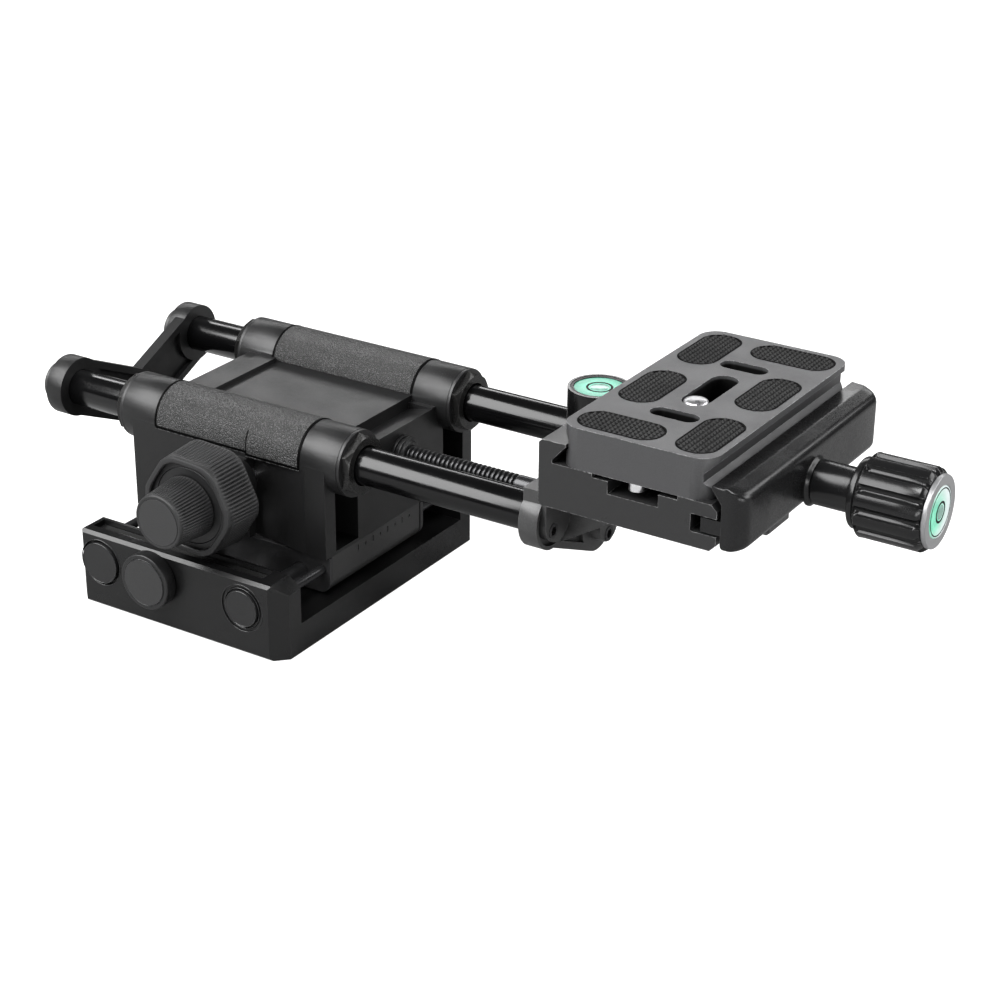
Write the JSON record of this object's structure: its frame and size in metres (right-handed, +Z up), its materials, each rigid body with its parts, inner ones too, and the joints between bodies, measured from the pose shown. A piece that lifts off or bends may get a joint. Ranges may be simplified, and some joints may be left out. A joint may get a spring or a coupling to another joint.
{
  "type": "macro focusing rail",
  "caption": "Cross-slide base with a two-rod rack-driven rail, six-sided focus knob, dovetail clamp with fluted knob, bubble levels and a padded quick-release plate.",
  "frame": {"origin": "centre of the underside of the base, at the mouth of the centre tripod thread", "axes": "+X along the two rods toward the clamp, +Y across the rods away from the focus knob, +Z up"},
  "size_m": [0.237, 0.0999, 0.0721],
  "materials": {
    "black_alloy": "satin",
    "black_composite": "satin",
    "pebbled_cover": "pebbled",
    "knob_rubber": "matt",
    "knob_plastic": "satin",
    "gloss_rod": "gloss black",
    "rack_steel": "blackened",
    "bright_steel": "ground",
    "brass": "turned",
    "bearing_plastic": "satin",
    "clamp_alloy": "black anodised",
    "plate_alloy": "grey-black anodised",
    "pad_rubber": "knurled",
    "silver_ring": "satin",
    "green_vial": "clear green"
  },
  "bodies": {
    "base": {"base_channel": "black_alloy", "wall_strips": "knob_rubber", "centre_bush": "bright_steel", "side_bushes": "bright_steel", "cross_rods": "bright_steel", "guide_pins": "bright_steel", "front_caps": "knob_plastic", "rear_caps": "knob_plastic"},
    "cross_drive": {"cross_screw": "bright_steel", "cross_knob": "knob_plastic", "cross_knob_disc": "knob_plastic"},
    "carriage": {"slide_block": "black_alloy", "wiper_plates": "bearing_plastic", "cross_bushes": "brass", "cross_nut": "brass", "block_screws": "rack_steel", "housing": "black_composite", "front_cover": "pebbled_cover", "rear_cover": "pebbled_cover", "sleeve_bushes": "bearing_plastic", "collar_rings": "knob_plastic", "collar_nuts": "knob_plastic", "rack_glands": "knob_plastic"},
    "focus_drive": {"drive_shaft": "bright_steel", "focus_hub": "knob_plastic", "focus_grip": "knob_rubber", "focus_washer": "bright_steel"},
    "lock": {"lock_spindle": "bright_steel", "lock_knob": "knob_rubber", "lock_disc": "knob_plastic"},
    "layshaft": {"lay_pinion": "brass"},
    "rail": {"rods": "gloss_rod", "rack_bar": "rack_steel", "left_bracket": "black_composite", "rod_plugs": "knob_plastic", "right_bracket": "black_composite", "bracket_screws": "rack_steel", "clamp_body": "clamp_alloy", "clamp_bolts": "rack_steel", "level_cup": "clamp_alloy", "level_vial": "green_vial", "level_ring": "knob_plastic"},
    "jaw": {"moving_jaw": "clamp_alloy", "jaw_pins": "bright_steel"},
    "clamp_screw": {"clamp_spindle": "bright_steel", "clamp_knob": "clamp_alloy", "knob_ring": "silver_ring", "knob_vial": "green_vial"},
    "camera_plate": {"plate": "plate_alloy", "grip_pads": "pad_rubber", "stop_screws": "bright_steel"},
    "retainer": {"screw_retainer": "bright_steel"},
    "camera_bolt": {"camera_screw": "bright_steel"}
  },
  "joints": [
    {"name": "cross_slide", "type": "slide", "parent": "base", "child": "carriage", "axis": [0, 1, 0], "range_m": [-0.0135, 0.0135]},
    {"name": "cross_turn", "type": "hinge", "parent": "base", "child": "cross_drive", "pos_m": [-0.0065, -0.0432, 0.0129], "axis": [0, 1, 0], "range_deg": [-3250, 3250]},
    {"name": "rail_slide", "type": "slide", "parent": "carriage", "child": "rail", "axis": [1, 0, 0], "range_m": [-0.0463, 0.0173]},
    {"name": "focus_turn", "type": "hinge", "parent": "carriage", "child": "focus_drive", "pos_m": [0.0046, -0.0312, 0.0345], "axis": [0, 1, 0], "range_deg": [-525, 1395]},
    {"name": "lay_turn", "type": "hinge", "parent": "carriage", "child": "layshaft", "pos_m": [-0.00355, 0.0115, 0.02943], "axis": [0, 1, 0], "range_deg": [-700, 265]},
    {"name": "lock_turn", "type": "hinge", "parent": "focus_drive", "child": "lock", "pos_m": [0.0046, -0.0528, 0.0345], "axis": [0, 1, 0], "range_deg": [-30, 90]},
    {"name": "jaw_slide", "type": "slide", "parent": "rail", "child": "jaw", "axis": [1, 0, 0], "range_m": [-0.0007, 0.0032]},
    {"name": "clamp_turn", "type": "hinge", "parent": "jaw", "child": "clamp_screw", "pos_m": [0.1446, 0.0115, 0.056], "axis": [1, 0, 0], "range_deg": [-260, 1160]},
    {"name": "plate_slide", "type": "slide", "parent": "rail", "child": "camera_plate", "axis": [0, 1, 0], "range_m": [-0.01, 0.01]},
    {"name": "screw_slide", "type": "slide", "parent": "camera_plate", "child": "retainer", "axis": [0, 1, 0], "range_m": [0, 0.0136]},
    {"name": "camera_turn", "type": "hinge", "parent": "retainer", "child": "camera_bolt", "pos_m": [0.1163, 0.00465, 0.0675], "axis": [0, 0, 1], "continuous": true}
  ],
  "couplings": [
    {"joint": "cross_turn", "follows": "cross_slide", "rad_per_m": -4188.8},
    {"joint": "focus_turn", "follows": "rail_slide", "rad_per_m": -523.6},
    {"joint": "lay_turn", "follows": "rail_slide", "rad_per_m": 261.8},
    {"joint": "clamp_turn", "follows": "jaw_slide", "rad_per_m": 6283.2}
  ]
}
